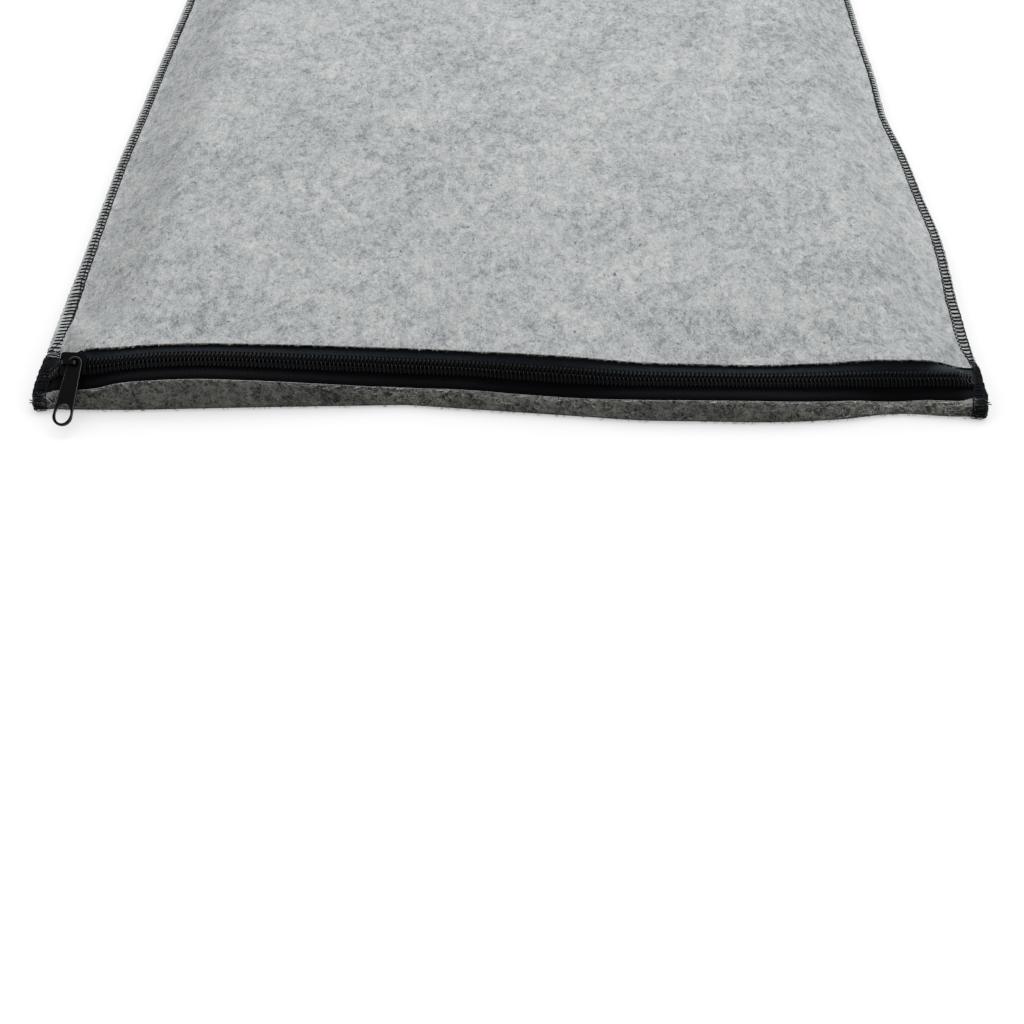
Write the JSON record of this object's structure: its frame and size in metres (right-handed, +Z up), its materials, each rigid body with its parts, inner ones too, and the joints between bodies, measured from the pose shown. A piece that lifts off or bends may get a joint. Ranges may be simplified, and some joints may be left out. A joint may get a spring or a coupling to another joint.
{
  "type": "laptop sleeve",
  "caption": "Flat felt laptop sleeve with overlocked sides and a coil zip with slider and ring-ended pull tab across its narrow end.",
  "frame": {"origin": "middle of the flat bottom face, on the surface that the sleeve lies on", "axes": "+X along the closed zip from the slider's closed end to its open end, +Y from the zip to the far fold, +Z up"},
  "size_m": [0.3, 0.4231, 0.0175],
  "materials": {
    "grey_felt": "melange needled felt, matt",
    "black_tape": "woven polyester zip tape",
    "black_nylon": "satin nylon monofilament",
    "black_cord": "braided core cord",
    "black_thread": "spun polyester sewing thread",
    "black_enamel": "semi-gloss black enamel on zinc"
  },
  "bodies": {
    "sleeve": {"felt_body": "grey_felt", "upper_zip_tape": "black_tape", "lower_zip_tape": "black_tape", "upper_coil": "black_nylon", "lower_coil": "black_nylon", "upper_coil_cord": "black_cord", "lower_coil_cord": "black_cord", "upper_coil_stitching": "black_thread", "lower_coil_stitching": "black_thread", "upper_zip_seam_thread": "black_thread", "lower_zip_seam_thread": "black_thread", "left_overlock_needle_thread": "black_thread", "left_overlock_upper_looper": "black_thread", "left_overlock_lower_looper": "black_thread", "right_overlock_needle_thread": "black_thread", "right_overlock_upper_looper": "black_thread", "right_overlock_lower_looper": "black_thread"},
    "slider": {"slider_body": "black_enamel"},
    "pull": {"pull_tab": "black_enamel"}
  },
  "joints": [
    {"name": "zip_slide", "type": "slide", "parent": "sleeve", "child": "slider", "axis": [1, 0, -0.008], "range_m": [0, 0.2737]},
    {"name": "pull_tab_swivel", "type": "hinge", "parent": "slider", "child": "pull", "pos_m": [-0.13528, -0.20141, 0.01555], "axis": [0, -0.5878, 0.809], "range_deg": [-15, 160]}
  ]
}
